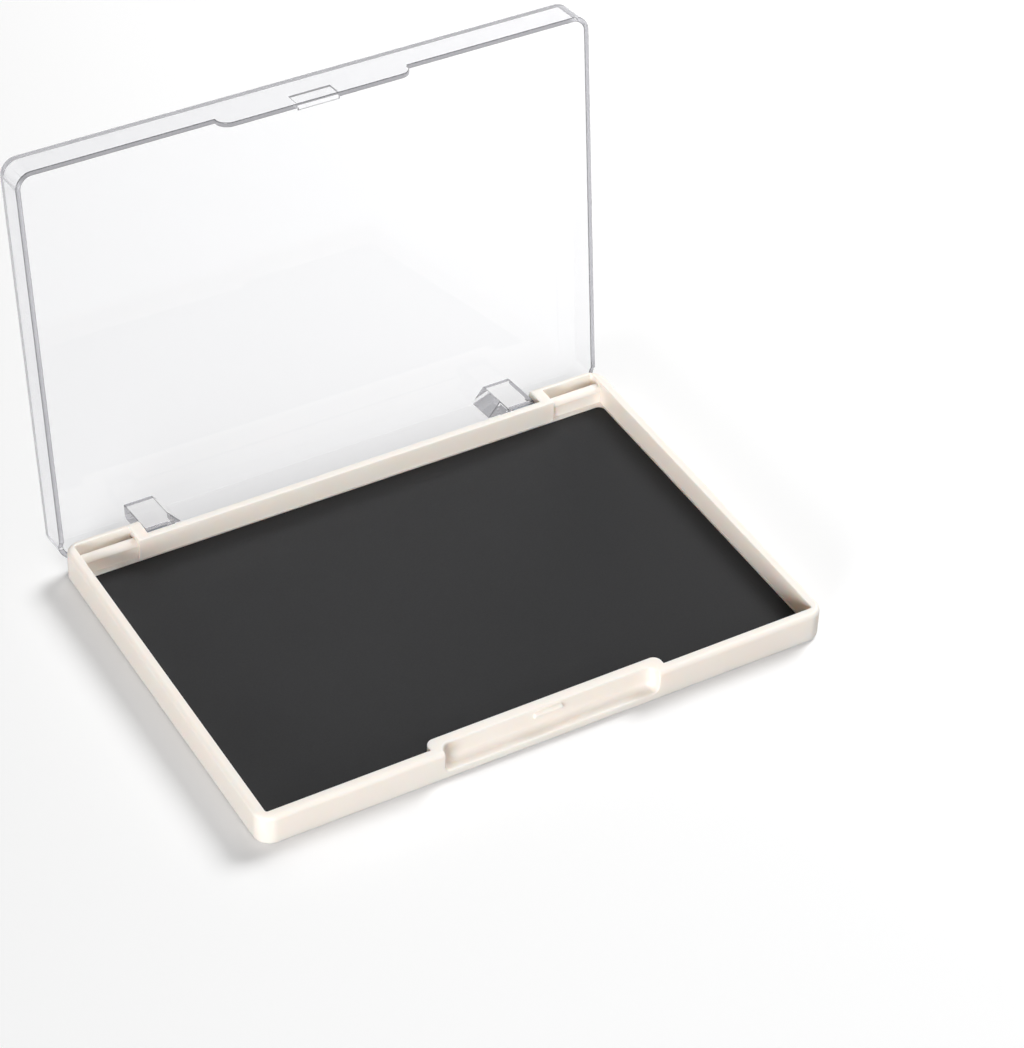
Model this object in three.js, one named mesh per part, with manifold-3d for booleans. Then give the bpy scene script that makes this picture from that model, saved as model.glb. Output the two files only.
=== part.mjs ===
// Flip-top magnetic needle case: a cream tray with a black magnet sheet and a clear hinged lid.
// Millimetres, +Z up, +X along the hinge, -Y towards the thumb scoop. The origin is the middle of the underside.

import * as THREE from 'three';
import { mergeVertices, toCreasedNormals } from 'three/addons/utils/BufferGeometryUtils.js';
import Module from 'manifold-3d';

// Case
const WIDTH = 105; // along the hinge
const DEPTH = 74; // front to back
const BASE_HEIGHT = 6;
const LID_HEIGHT = 7;
const CORNER_RADIUS = 3;
const RIM_GAP = 0.15; // closed lid rim above the tray rim

// Tray
const BASE_EDGE_RADIUS = 0.8;
const SIDE_WALL = 1.8;
const FRONT_WALL = 1.9;
const FLOOR = 1;
const FRONT_CORNER_RADIUS = 0.4; // inside the front wall
const BACK_CORNER_RADIUS = 1.2; // of the sheet and its seat
const RAIL_WALL = 1.4; // upright wall in front of the hinge notch

// Magnet sheet, stuck down flush with a narrow ledge
const ADHESIVE_THICKNESS = 0.15;
const SHEET_THICKNESS = 0.65;
const LEDGE_WIDTH = 0.2;
const SHEET_CLEARANCE = 0.1;

// Thumb scoop in the front wall
const SCOOP_WIDTH = 39.7;
const SCOOP_DEPTH = 2.2;
const SCOOP_WALL = 1.85; // between the scoop and the tray's hollow
const SCOOP_LIP = 1.9; // front face left under the scoop
const SCOOP_CORNER = 1.5;
const SCOOP_BEND = 1; // floor to back wall

// Snap latch
const NIB_LENGTH = 5.3;
const NIB_HEIGHT = 1.1;
const NIB_REACH = 0.6;
const NIB_DROP = 0.7; // tray rim to the nib's top
const CATCH_LENGTH = 7.6;
const CATCH_HEIGHT = 0.5;
const CATCH_POCKET_HEIGHT = 3; // above the catch
const CATCH_POCKET_DEPTH = 0.35;
const LATCH_PLAY = 0.1; // closed nib above the catch
const LATCH_GAP = 0.2; // nib tip to catch tip
const TAB_WIDTH = 35.2;
const TAB_CORNER = 2.3;

// Lid
const LID_WALL = 0.85;
const LID_PANEL = 1;
const LID_EDGE_RADIUS = 1;
const LID_INNER_EDGE = 0.5;

// Hinge
const HINGE_INSET = 2; // axis to the back face
const HINGE_DROP = 2.2; // axis below the tray rim
const KNUCKLE_RADIUS = 1.5;
const KNUCKLE_CLEARANCE = 0.25;
const LUG_WIDTH = 5.3;
const LUG_GUSSET = 2.4; // foot of the sloped brace along the lid's back wall
const LUG_SIDE_GAP = 0.3;
const LUG_END_WALL = 0.8; // closed end of the lug's bore
const SWING_CLEARANCE = 0.25;
const STOP_GAP = 0.25; // left at the open stop
const PIN_RADIUS = 0.6;
const PIN_CHAMFER = 0.12;
const PIN_PRESS_GAP = 0.05;
const PIN_RUNNING_GAP = 0.1;
const PIN_END_GAP = 0.3;

// End blocks beside the hinge notch
const END_BLOCK = 14.2; // outer side to the notch
const END_CHEEK = 2.2; // wall that holds the pin
const POCKET_WIDTH = 1.7;
const BEAD_SETBACK = 0.6; // behind the rail's front face
const BEAD_DROP = 0.9; // below the tray rim
const BEAD_RADIUS = 1;
const BEAD_STEP = 0.2; // in front of the wall under it

// Fineness
const ARC_STEPS = 7;
const ROUND_STEPS = 48;
const CUT_OVER = 1; // how far a cut runs past the surface
const CREASE_ANGLE = THREE.MathUtils.degToRad(30);

// Places that follow from the sizes
const front = -DEPTH / 2;
const back = DEPTH / 2;
const side = WIDTH / 2;
const hingeY = back - HINGE_INSET;
const hingeZ = BASE_HEIGHT - HINGE_DROP;
const rim = BASE_HEIGHT + RIM_GAP;
const lidTop = rim + LID_HEIGHT;
const sheetBottom = FLOOR + ADHESIVE_THICKNESS;
const sheetTop = sheetBottom + SHEET_THICKNESS;
const notchFront = hingeY - KNUCKLE_RADIUS - KNUCKLE_CLEARANCE;
const railFront = notchFront - RAIL_WALL;
const blockInner = side - END_BLOCK;
const pocketInner = blockInner + END_CHEEK;
const lugOuter = blockInner - LUG_SIDE_GAP;
const lugInner = lugOuter - LUG_WIDTH;
const nibBottom = BASE_HEIGHT - NIB_DROP - NIB_HEIGHT;
const catchTop = nibBottom - LATCH_PLAY;
const tabBottom = catchTop - CATCH_HEIGHT;
const scoopBack = front + SCOOP_DEPTH;

// The lid swings back until its rim comes to the tray's back face
const reliefRadius = Math.hypot(HINGE_INSET, HINGE_DROP) + SWING_CLEARANCE;
const openAngle = Math.PI / 2 + Math.acos((HINGE_INSET + STOP_GAP) / reliefRadius)
  - Math.asin(HINGE_INSET / reliefRadius);
const skirtDrop = (KNUCKLE_RADIUS + KNUCKLE_CLEARANCE - STOP_GAP + HINGE_INSET * Math.cos(openAngle))
  / Math.sin(openAngle);
const skirtRadius = Math.hypot(HINGE_INSET, skirtDrop);
const notchFloor = Math.min(FLOOR, hingeZ - skirtRadius - SWING_CLEARANCE);

const wasm = await Module();
wasm.setup();

// Closed geometry to a solid that can be joined and cut
function solid(geometry) {
  geometry.deleteAttribute('normal');
  geometry.deleteAttribute('uv');
  const merged = mergeVertices(geometry, 1e-5);
  return new wasm.Manifold(new wasm.Mesh({
    numProp: 3,
    vertProperties: Float32Array.from(merged.attributes.position.array),
    triVerts: Uint32Array.from(merged.index.array),
  }));
}

// Finished solid to a geometry with creased normals
function geometryOf(body) {
  const { vertProperties, triVerts } = body.getMesh();
  const geometry = new THREE.BufferGeometry();
  geometry.setAttribute('position', new THREE.BufferAttribute(Float32Array.from(vertProperties), 3));
  geometry.setIndex(new THREE.BufferAttribute(Uint32Array.from(triVerts), 1));
  return toCreasedNormals(geometry, CREASE_ANGLE);
}

// Points of a quarter turn from one arm of a corner to the other
function quarterArc(centre, from, to) {
  return Array.from({ length: ARC_STEPS + 1 }, (_, i) => {
    const turn = (i / ARC_STEPS) * Math.PI / 2;
    return centre.clone().addScaledVector(from, Math.cos(turn)).addScaledVector(to, Math.sin(turn));
  });
}

// Outline with square corners, each given as [x, y, rounding radius]
function outline(corners) {
  const points = corners.map(([x, y]) => new THREE.Vector2(x, y));
  return new THREE.Shape(corners.flatMap(([, , radius = 0], i) => {
    const corner = points[i];
    if (radius <= 0) return [corner];
    const toLast = points.at(i - 1).clone().sub(corner).setLength(radius);
    const toNext = points[(i + 1) % points.length].clone().sub(corner).setLength(radius);
    const centre = corner.clone().add(toLast).add(toNext);
    return quarterArc(centre, toNext.clone().negate(), toLast.clone().negate());
  }));
}

// Rectangle in plan with its front and back corners rounded
function rectangle(left, right, near, far, nearRadius = 0, farRadius = nearRadius) {
  return outline([
    [left, near, nearRadius], [right, near, nearRadius], [right, far, farRadius], [left, far, farRadius],
  ]);
}

// Plan outline raised from one height to another
function raised(shape, bottom, top) {
  const geometry = new THREE.ExtrudeGeometry(shape, { depth: top - bottom, bevelEnabled: false });
  return solid(geometry.translate(0, 0, bottom));
}

// Side profile in Y and Z swept along X
function swept(shape, left, right) {
  const geometry = new THREE.ExtrudeGeometry(shape, { depth: right - left, bevelEnabled: false });
  const turn = new THREE.Matrix4().makeBasis(
    new THREE.Vector3(0, 1, 0), new THREE.Vector3(0, 0, 1), new THREE.Vector3(1, 0, 0),
  );
  return solid(geometry.applyMatrix4(turn).translate(left, 0, 0));
}

// Block with rounded corners in plan and rounded edges above and below
function roundedBlock(width, depth, bottom, top, corner, edge) {
  const geometry = new THREE.ExtrudeGeometry(
    rectangle(-width / 2, width / 2, -depth / 2, depth / 2, corner),
    {
      depth: top - bottom - 2 * edge,
      bevelThickness: edge,
      bevelSize: edge,
      bevelOffset: -edge,
      bevelSegments: ARC_STEPS - 3,
    },
  );
  return solid(geometry.translate(0, 0, bottom + edge));
}

// Round bar along the hinge axis
function hingeBar(radius, left, right) {
  const geometry = new THREE.CylinderGeometry(radius, radius, right - left, ROUND_STEPS);
  return solid(geometry.rotateZ(Math.PI / 2).translate((left + right) / 2, hingeY, hingeZ));
}

// The same cut or boss on the left and on the right
const bothSides = (make) => make(-1).add(make(1));

// Spans from one distance to another off the middle, on the side given by its sign
const span = (sign, near, far) => (sign > 0 ? [near, far] : [-far, -near]);

// Sheet outline with its notch round the thumb scoop, set in from the tray's walls
function sheetOutline(inset) {
  const edge = side - SIDE_WALL - inset;
  const near = front + FRONT_WALL + inset;
  const far = railFront - inset;
  const notch = SCOOP_WIDTH / 2 + SCOOP_WALL + inset;
  const notchFar = scoopBack + SCOOP_WALL + inset;
  const bend = Math.min(SCOOP_CORNER + inset, (notchFar - near) * 0.9);
  return outline([
    [-edge, near, FRONT_CORNER_RADIUS], [-notch, near], [-notch, notchFar, bend], [notch, notchFar, bend],
    [notch, near], [edge, near, FRONT_CORNER_RADIUS],
    [edge, far, BACK_CORNER_RADIUS], [-edge, far, BACK_CORNER_RADIUS],
  ]);
}

// Everything that is open in one end block: the strip behind the sheet, the bead's round top and the pin pocket
function endBlockVoid(sign) {
  const beadFront = railFront + BEAD_SETBACK;
  const pocketFront = hingeY - POCKET_WIDTH / 2;
  const pocketBack = hingeY + POCKET_WIDTH / 2;
  const pocketFloor = hingeZ - PIN_RADIUS - PIN_PRESS_GAP;
  const crest = BASE_HEIGHT - BEAD_DROP;
  const above = BASE_HEIGHT + CUT_OVER;
  const radius = Math.min(BEAD_RADIUS, (pocketFront - beadFront) * 0.9);
  const profile = new THREE.Shape([
    new THREE.Vector2(railFront - CUT_OVER, sheetTop),
    new THREE.Vector2(beadFront + BEAD_STEP, sheetTop),
    new THREE.Vector2(beadFront + BEAD_STEP, crest - radius - BEAD_STEP),
    ...quarterArc(
      new THREE.Vector2(beadFront + radius, crest - radius),
      new THREE.Vector2(-radius, 0),
      new THREE.Vector2(0, radius),
    ),
    new THREE.Vector2(pocketFront, crest),
    new THREE.Vector2(pocketFront, pocketFloor),
    new THREE.Vector2(pocketBack, pocketFloor),
    new THREE.Vector2(pocketBack, above),
    new THREE.Vector2(railFront - CUT_OVER, above),
  ]);
  return swept(profile, ...span(sign, pocketInner, side - SIDE_WALL));
}

// Thumb scoop: a floor that bends up into the back wall, kept inside a plan with rounded ends
function scoopCut() {
  const above = BASE_HEIGHT + CUT_OVER;
  const bend = Math.min(SCOOP_BEND, SCOOP_DEPTH * 0.9);
  const profile = new THREE.Shape([
    ...quarterArc(
      new THREE.Vector2(scoopBack - bend, SCOOP_LIP + bend),
      new THREE.Vector2(0, -bend),
      new THREE.Vector2(bend, 0),
    ),
    new THREE.Vector2(scoopBack, above),
    new THREE.Vector2(front - CUT_OVER, above),
    new THREE.Vector2(front - CUT_OVER, SCOOP_LIP),
  ]);
  const half = SCOOP_WIDTH / 2;
  const plan = rectangle(-half, half, front - CUT_OVER, scoopBack, 0, SCOOP_CORNER);
  return swept(profile, -half, half).intersect(raised(plan, 0, above));
}

// Wall that follows the scoop on the tray's inner side
function scoopWall() {
  const half = SCOOP_WIDTH / 2 + SCOOP_WALL;
  const plan = rectangle(-half, half, front + FRONT_WALL / 2, scoopBack + SCOOP_WALL, 0, SCOOP_CORNER);
  return raised(plan, FLOOR / 2, BASE_HEIGHT);
}

// Snap nib on the scoop's back wall, with a sloped top
function latchNib() {
  const profile = new THREE.Shape([
    new THREE.Vector2(scoopBack + SCOOP_WALL / 2, nibBottom),
    new THREE.Vector2(scoopBack + SCOOP_WALL / 2, nibBottom + NIB_HEIGHT),
    new THREE.Vector2(scoopBack, nibBottom + NIB_HEIGHT),
    new THREE.Vector2(scoopBack - NIB_REACH, nibBottom + NIB_HEIGHT * 0.7),
    new THREE.Vector2(scoopBack - NIB_REACH, nibBottom + NIB_HEIGHT / 4),
    new THREE.Vector2(scoopBack - NIB_REACH / 2, nibBottom),
  ]);
  return swept(profile, -NIB_LENGTH / 2, NIB_LENGTH / 2);
}

// Cream tray in one moulding
function baseTray() {
  const inner = side - SIDE_WALL;
  const above = BASE_HEIGHT + CUT_OVER;
  const hollow = rectangle(-inner, inner, front + FRONT_WALL, railFront, FRONT_CORNER_RADIUS, 0);
  const notch = rectangle(-blockInner, blockInner, notchFront, back + CUT_OVER);
  const boreRadius = PIN_RADIUS + PIN_PRESS_GAP;
  return roundedBlock(WIDTH, DEPTH, 0, BASE_HEIGHT, CORNER_RADIUS, BASE_EDGE_RADIUS)
    .subtract(raised(hollow, sheetTop, above))
    .add(scoopWall())
    .subtract(raised(sheetOutline(LEDGE_WIDTH), FLOOR, above))
    .subtract(raised(notch, notchFloor, above))
    .subtract(bothSides(endBlockVoid))
    .subtract(bothSides((sign) => hingeBar(boreRadius, ...span(sign, lugOuter, pocketInner + POCKET_WIDTH))))
    .subtract(scoopCut())
    .add(latchNib());
}

// Front tab with rounded lower corners, in line with the lid's front wall
function lidTab() {
  const half = TAB_WIDTH / 2;
  const shape = outline([
    [-half, tabBottom, TAB_CORNER], [half, tabBottom, TAB_CORNER], [half, rim + LID_WALL], [-half, rim + LID_WALL],
  ]);
  const geometry = new THREE.ExtrudeGeometry(shape, { depth: LID_WALL, bevelEnabled: false });
  return solid(geometry.rotateX(Math.PI / 2).translate(0, front + LID_WALL, 0));
}

// Catch on the tab's inner face, which snaps under the nib
function lidCatch() {
  const face = front + LID_WALL;
  const reach = SCOOP_DEPTH - LID_WALL - NIB_REACH - LATCH_GAP;
  const profile = new THREE.Shape([
    new THREE.Vector2(face - LID_WALL / 2, tabBottom),
    new THREE.Vector2(face + reach / 2, tabBottom),
    new THREE.Vector2(face + reach, tabBottom + CATCH_HEIGHT / 2),
    new THREE.Vector2(face + reach, catchTop),
    new THREE.Vector2(face - LID_WALL / 2, catchTop),
  ]);
  return swept(profile, -CATCH_LENGTH / 2, CATCH_LENGTH / 2);
}

// Shallow pocket above the catch, where the nib comes to rest
function catchPocket() {
  const floor = front + LID_WALL - CATCH_POCKET_DEPTH;
  const top = catchTop + CATCH_POCKET_HEIGHT;
  const profile = outline([
    [floor, catchTop], [floor + CUT_OVER, catchTop], [floor + CUT_OVER, top], [floor, top],
  ]);
  return swept(profile, -CATCH_LENGTH / 2, CATCH_LENGTH / 2);
}

// Hinge lug: an arm from the lid's panel to a round knuckle on the axis
function hingeLug(sign) {
  const top = lidTop - LID_PANEL / 2;
  const r = KNUCKLE_RADIUS;
  const axis = new THREE.Vector2(hingeY, hingeZ);
  const profile = new THREE.Shape([
    ...quarterArc(axis, new THREE.Vector2(-r, 0), new THREE.Vector2(0, -r)),
    ...quarterArc(axis, new THREE.Vector2(0, -r), new THREE.Vector2(r, 0)).slice(1),
    new THREE.Vector2(hingeY + r, top),
    new THREE.Vector2(hingeY - r, top),
  ]);
  return swept(profile, ...span(sign, lugInner, lugOuter));
}

// Sloped brace from the lug's front to the lid's back wall
function lugGusset(sign) {
  const lugFront = hingeY - KNUCKLE_RADIUS;
  const lugMiddle = (lugInner + lugOuter) / 2;
  const foot = lugInner - LUG_GUSSET;
  const root = back - LID_WALL / 2;
  const corners = [
    [lugInner, lugFront], [foot, back - LID_WALL], [foot, root], [lugMiddle, root], [lugMiddle, lugFront],
  ];
  return raised(outline(corners.map(([x, y]) => [sign * x, y])), rim, lidTop - LID_PANEL / 2);
}

// Clear lid in one moulding, drawn closed
function lid() {
  const far = lidTop + LID_HEIGHT;
  const hollow = roundedBlock(
    WIDTH - 2 * LID_WALL, DEPTH - 2 * LID_WALL, rim - LID_HEIGHT, lidTop - LID_PANEL,
    CORNER_RADIUS - LID_WALL, LID_INNER_EDGE,
  );
  const belowRim = raised(rectangle(-WIDTH, WIDTH, -DEPTH, DEPTH), rim - far, rim);
  const skirt = rectangle(-lugOuter, lugOuter, back - LID_WALL, back);
  const boreRadius = PIN_RADIUS + PIN_RUNNING_GAP;
  return roundedBlock(WIDTH, DEPTH, rim - LID_HEIGHT, lidTop, CORNER_RADIUS, LID_EDGE_RADIUS)
    .subtract(belowRim)
    .subtract(hollow)
    .subtract(hingeBar(reliefRadius, -WIDTH, WIDTH))
    .add(lidTab())
    .subtract(catchPocket())
    .add(lidCatch())
    .add(raised(skirt, hingeZ - skirtDrop, lidTop - LID_EDGE_RADIUS))
    .add(bothSides(hingeLug))
    .add(bothSides(lugGusset))
    .subtract(bothSides((sign) => hingeBar(
      boreRadius, ...span(sign, lugInner + LUG_END_WALL, lugOuter + CUT_OVER),
    )));
}

// Straight dowel pin with chamfered ends
function pinGeometry(length) {
  const half = length / 2;
  const r = PIN_RADIUS;
  return new THREE.LatheGeometry([
    new THREE.Vector2(0, -half),
    new THREE.Vector2(r - PIN_CHAMFER, -half),
    new THREE.Vector2(r, PIN_CHAMFER - half),
    new THREE.Vector2(r, half - PIN_CHAMFER),
    new THREE.Vector2(r - PIN_CHAMFER, half),
    new THREE.Vector2(0, half),
  ], ROUND_STEPS / 2);
}

// Finishes
const cream = { color: 0xefe5db, roughness: 0.38, metalness: 0 };
const ferrite = { color: 0x2e2e30, roughness: 0.82, metalness: 0 };
const backing = { color: 0xe6dfc6, roughness: 0.6, metalness: 0 };
const clear = { color: 0xf3f6f7, roughness: 0.06, metalness: 0, transparent: true, opacity: 0.25 };
const steel = { color: 0xb9bdc2, roughness: 0.3, metalness: 1 };

// Named piece with a material of its own
function piece(name, geometry, finish) {
  const mesh = new THREE.Mesh(geometry, new THREE.MeshStandardMaterial(finish));
  mesh.name = name;
  return mesh;
}

// Pin pressed into an end block's cheek, with its other end in the lug's bore
function hingePin(name, sign) {
  const outerEnd = pocketInner - PIN_CHAMFER;
  const innerEnd = lugInner + LUG_END_WALL + PIN_END_GAP;
  const pin = piece(name, pinGeometry(outerEnd - innerEnd), steel);
  pin.rotation.z = Math.PI / 2;
  pin.position.set(sign * (innerEnd + outerEnd) / 2, hingeY, hingeZ);
  return pin;
}

const needleCase = new THREE.Group();
needleCase.add(piece('base_tray', geometryOf(baseTray()), cream));

const seat = sheetOutline(LEDGE_WIDTH + SHEET_CLEARANCE);
needleCase.add(piece('adhesive_film', geometryOf(raised(seat, FLOOR, sheetBottom)), backing));
needleCase.add(piece('magnet_sheet', geometryOf(raised(seat, sheetBottom, sheetTop)), ferrite));

needleCase.add(hingePin('hinge_pin_left', -1));
needleCase.add(hingePin('hinge_pin_right', 1));

// The lid turns in this group, which stands open at its stop
const lidSwing = new THREE.Group();
lidSwing.position.set(0, hingeY, hingeZ);
lidSwing.rotation.x = -openAngle;
lidSwing.add(piece('lid', geometryOf(lid()).translate(0, -hingeY, -hingeZ), clear));
needleCase.add(lidSwing);

export default needleCase;
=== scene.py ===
"""Dresses the flip-top magnetic needle case: a cream tray, a black magnet sheet and a clear hinged lid."""

from __future__ import annotations

import logging
import math
from abc import ABC, abstractmethod
from dataclasses import dataclass
from enum import Enum
from functools import reduce
from typing import Any, Callable, Sequence

import bmesh
import bpy
from mathutils import Euler, Matrix, Vector


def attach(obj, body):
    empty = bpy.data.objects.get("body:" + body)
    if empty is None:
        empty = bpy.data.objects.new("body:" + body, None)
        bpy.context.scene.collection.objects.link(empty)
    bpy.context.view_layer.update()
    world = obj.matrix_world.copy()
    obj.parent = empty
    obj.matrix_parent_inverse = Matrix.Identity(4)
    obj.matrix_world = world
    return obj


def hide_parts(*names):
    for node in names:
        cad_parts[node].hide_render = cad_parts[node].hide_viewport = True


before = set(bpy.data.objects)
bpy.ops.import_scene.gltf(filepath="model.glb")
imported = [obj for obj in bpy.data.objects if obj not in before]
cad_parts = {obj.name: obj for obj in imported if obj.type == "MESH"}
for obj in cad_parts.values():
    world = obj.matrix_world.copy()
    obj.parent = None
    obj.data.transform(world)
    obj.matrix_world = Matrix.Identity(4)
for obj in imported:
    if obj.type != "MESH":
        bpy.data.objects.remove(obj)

LOG = logging.getLogger("needle_case")
MM = 0.001
ARC_STEPS = 10
BAR_FACETS = 48
PIN_FACETS = 32
CUT_OVER = 1.0  # how far a cut runs past what it cuts
ROUND_SHARE = 0.9  # the most that a rounding takes of its room
LEVEL = 1e-3  # points this near to a height count as level with it
SEAM = 1e-4  # points of a swept wall and its caps this near are joined
WELD = 2e-3  # points of a solid this near become one
SLIVER = 1e-3  # faces thinner than this are dissolved
NO_TURN = 1e-6  # the least turn at an edge that is divided by
SOFT_TURN = math.radians(32)  # edges that turn more are softened
SMOOTH_TURN = math.radians(40)  # edges that turn less are shaded smooth
FACTOR, COLOUR_A, COLOUR_B, MIXED = 0, 6, 7, 2  # sockets of a mix of two colours
BEND_MARK = "bend"
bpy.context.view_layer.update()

Point = tuple[float, float]
Span = tuple[float, float]
Corner = tuple[float, float, float]
Triple = tuple[float, float, float]
EdgeTest = Callable[[Vector, Vector], bool]


class Axis(Enum):
    """Direction that a profile is swept along."""

    X = "x"
    Y = "y"
    Z = "z"

    def place(self, u: float, v: float, along: float) -> Vector:
        """Puts a profile point at a distance along the axis.

        Args:
            u: First profile coordinate.
            v: Second profile coordinate.
            along: Distance along the axis.

        Returns:
            The point in the case's frame.
        """
        if self is Axis.X:
            return Vector((along, u, v))
        if self is Axis.Y:
            return Vector((u, along, v))
        return Vector((u, v, along))


class Operation(Enum):
    """Ways to combine two solids."""

    JOIN = "UNION"
    CUT = "DIFFERENCE"
    MEET = "INTERSECT"


class Side(Enum):
    """Left and right half of the case."""

    LEFT = -1
    RIGHT = 1

    def span(self, near: float, far: float) -> Span:
        """Gives the low and high end of a span that is measured off the middle.

        Args:
            near: Distance of the span's inner end.
            far: Distance of the span's outer end.

        Returns:
            The lower and the higher x.
        """
        return (near, far) if self is Side.RIGHT else (-far, -near)


class Body(Enum):
    """Bodies that the pieces ride on."""

    BASE = "base"
    LID = "lid"


class Slot(Enum):
    """Material slots of the record."""

    CREAM = "cream_plastic"
    FERRITE = "ferrite_rubber"
    ADHESIVE = "adhesive"
    CLEAR = "clear_plastic"
    STEEL = "pin_steel"


def linear(hex_colour: str) -> tuple[float, float, float, float]:
    """Turns an sRGB hex colour to linear values.

    Args:
        hex_colour: Colour such as #F0E6DC.

    Returns:
        Linear red, green, blue and an alpha of one.
    """
    parts = [int(hex_colour[i:i + 2], 16) / 255 for i in (1, 3, 5)]
    red, green, blue = (c / 12.92 if c <= 0.04045 else ((c + 0.055) / 1.055) ** 2.4 for c in parts)
    return red, green, blue, 1.0


WHITE = linear("#FFFFFF")


def per_metre(size: float) -> float:
    """Gives the texture scale for a pattern whose features are this many millimetres wide."""
    return 1 / (size * MM)


def feed(tree: bpy.types.NodeTree, socket: bpy.types.NodeSocket, value: Any) -> None:
    """Gives an input its value, or links it to the socket that has it.

    Args:
        tree: Node tree of the input.
        socket: The input.
        value: A plain value, or a socket to link from.
    """
    if isinstance(value, bpy.types.NodeSocket):
        tree.links.new(value, socket)
    else:
        socket.default_value = value


def add_node(
    tree: bpy.types.NodeTree, kind: str, inputs: dict[str | int, Any] | None = None, **settings: Any,
) -> bpy.types.Node:
    """Adds a node with its settings, values and links.

    Args:
        tree: Node tree that gets the node.
        kind: Node type.
        inputs: Values, or sockets to link from, by input name or number.
        settings: Properties of the node itself.

    Returns:
        The new node.
    """
    node = tree.nodes.new(kind)
    for name, value in settings.items():
        setattr(node, name, value)
    for key, value in (inputs or {}).items():
        feed(tree, node.inputs[key], value)
    return node


def rounded(corners: Sequence[Corner]) -> list[Point]:
    """Draws an outline with square corners, each with its own rounding radius.

    Args:
        corners: Corner points with their radii, in order.

    Returns:
        The outline's points.
    """
    points: list[Point] = []
    for i, (x, y, radius) in enumerate(corners):
        corner = Vector((x, y))
        if radius <= 0:
            points.append((x, y))
            continue
        to_last = (Vector(corners[i - 1][:2]) - corner).normalized() * radius
        to_next = (Vector(corners[(i + 1) % len(corners)][:2]) - corner).normalized() * radius
        points += quarter_arc(corner + to_last + to_next, -to_next, -to_last)
    return points


def quarter_arc(centre: Vector, start: Vector, end: Vector) -> list[Point]:
    """Draws a quarter turn from one arm to another.

    Args:
        centre: Middle of the arc.
        start: Arm to the first point.
        end: Arm to the last point.

    Returns:
        The arc's points.
    """
    turns = [i / ARC_STEPS * math.pi / 2 for i in range(ARC_STEPS + 1)]
    return [tuple(centre + start * math.cos(turn) + end * math.sin(turn)) for turn in turns]


def rectangle(left: float, right: float, near: float, far: float) -> list[Point]:
    """Draws a rectangle between its lowest and highest coordinates."""
    return [(left, near), (right, near), (right, far), (left, far)]


class SizedTree(ABC):
    """A geometry node tree with named size inputs, run to give a plain mesh."""

    name: str
    sizes: tuple[str, ...]

    def __init__(self) -> None:
        """Makes the tree with its inputs and its closing nodes."""
        self.tree = bpy.data.node_groups.new(self.name, "GeometryNodeTree")
        panel = self.tree.interface
        panel.new_socket("Geometry", in_out="OUTPUT", socket_type="NodeSocketGeometry")
        self.identifiers = {
            size: panel.new_socket(size, in_out="INPUT", socket_type="NodeSocketFloat").identifier
            for size in self.sizes
        }
        material = panel.new_socket("Material", in_out="INPUT", socket_type="NodeSocketMaterial")
        self.identifiers["Material"] = material.identifier
        self.inputs = add_node(self.tree, "NodeGroupInput").outputs
        real = add_node(self.tree, "GeometryNodeRealizeInstances", {"Geometry": self.shape()})
        dressed = add_node(
            self.tree, "GeometryNodeSetMaterial",
            {"Geometry": real.outputs[0], "Material": self.inputs["Material"]},
        )
        add_node(self.tree, "NodeGroupOutput", {"Geometry": dressed.outputs[0]})

    @abstractmethod
    def shape(self) -> bpy.types.NodeSocket:
        """Builds the nodes of the shape and gives the socket with its geometry."""

    def by_index(self, kind: str, values: Sequence[Any]) -> bpy.types.NodeSocket:
        """Adds a choice of one value for each point of a curve.

        Args:
            kind: Data type, FLOAT or VECTOR.
            values: Values or sockets, in the order of the points.

        Returns:
            The socket with the chosen value.
        """
        index = add_node(self.tree, "GeometryNodeInputIndex").outputs[0]
        choice = add_node(self.tree, "GeometryNodeIndexSwitch", data_type=kind)
        while len(choice.index_switch_items) < len(values):
            choice.index_switch_items.new()
        for place, value in enumerate([index, *values]):
            feed(self.tree, choice.inputs[place], value)
        return choice.outputs[0]

    def polyline(self, points: Sequence[Sequence[Any]]) -> bpy.types.NodeSocket:
        """Adds an open line through points.

        Args:
            points: Coordinates of each point, as values or sockets, from x on and in order.

        Returns:
            The socket with the curve.
        """
        places = [
            add_node(self.tree, "ShaderNodeCombineXYZ", dict(enumerate(point))).outputs[0] for point in points
        ]
        line = add_node(self.tree, "GeometryNodeCurvePrimitiveLine")
        cut = add_node(
            self.tree, "GeometryNodeSubdivideCurve", {"Curve": line.outputs[0], "Cuts": len(points) - 2},
        )
        moved = add_node(
            self.tree, "GeometryNodeSetPosition",
            {"Geometry": cut.outputs[0], "Position": self.by_index("VECTOR", places)},
        )
        return moved.outputs[0]

    def run(self, material: bpy.types.Material | None, **values: float) -> bpy.types.Mesh:
        """Runs the tree with these sizes.

        Args:
            material: Material for all faces.
            values: Sizes by input name, with _ for a space.

        Returns:
            The plain mesh, in millimetres.
        """
        holder = bpy.data.objects.new(self.name, bpy.data.meshes.new(self.name))
        bpy.context.scene.collection.objects.link(holder)
        modifier = holder.modifiers.new(self.name, "NODES")
        modifier.node_group = self.tree
        modifier[self.identifiers["Material"]] = material
        for key, value in values.items():
            modifier[self.identifiers[key.replace("_", " ").title()]] = float(value)
        return plain_mesh(holder)


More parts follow.
